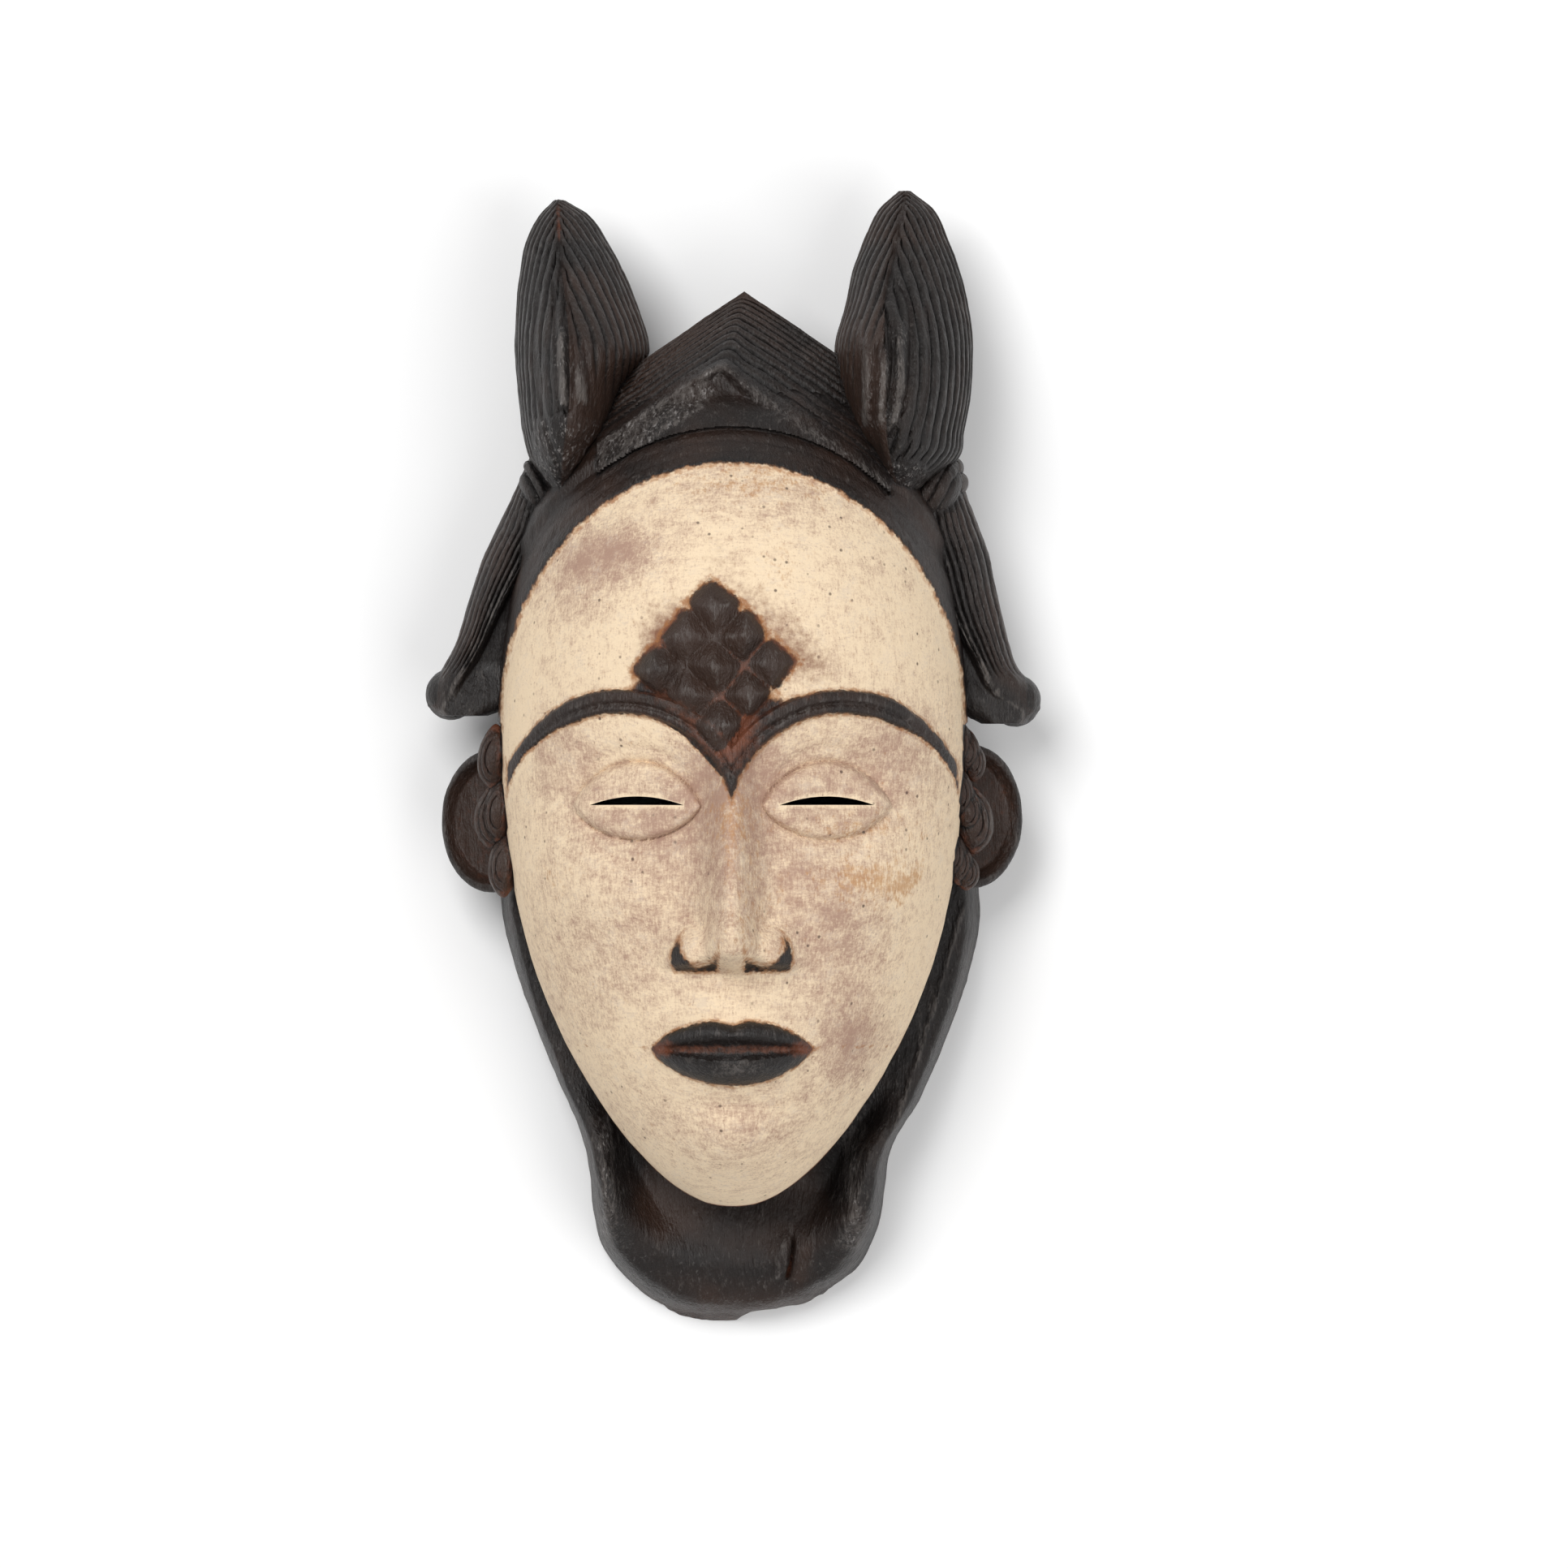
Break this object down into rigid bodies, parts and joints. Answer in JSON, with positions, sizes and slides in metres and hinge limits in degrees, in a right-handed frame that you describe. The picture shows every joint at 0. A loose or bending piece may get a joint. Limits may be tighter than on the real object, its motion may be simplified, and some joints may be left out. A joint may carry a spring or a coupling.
{
  "type": "carved wooden dance mask",
  "caption": "Carved wooden punu mask with a white kaolin face, forehead lozenge, dark lobed hair with a gabled crest, ears and a collar rim, hollow behind",
  "frame": {"origin": "centre of the bounding box's bottom, in the plane of the flat rim that the mask lies on", "axes": "+Y runs up the face from the collar to the tips of the hair lobes, +X to the right of the face as it is looked at, +Z out of the face"},
  "size_m": [0.1911, 0.3507, 0.1288],
  "materials": {
    "painted_wood": "kaolin-whitened face and blackened hair, worn to brown at the edges"
  },
  "bodies": {
    "root": {"carved_mask": "painted_wood"}
  },
  "joints": []
}
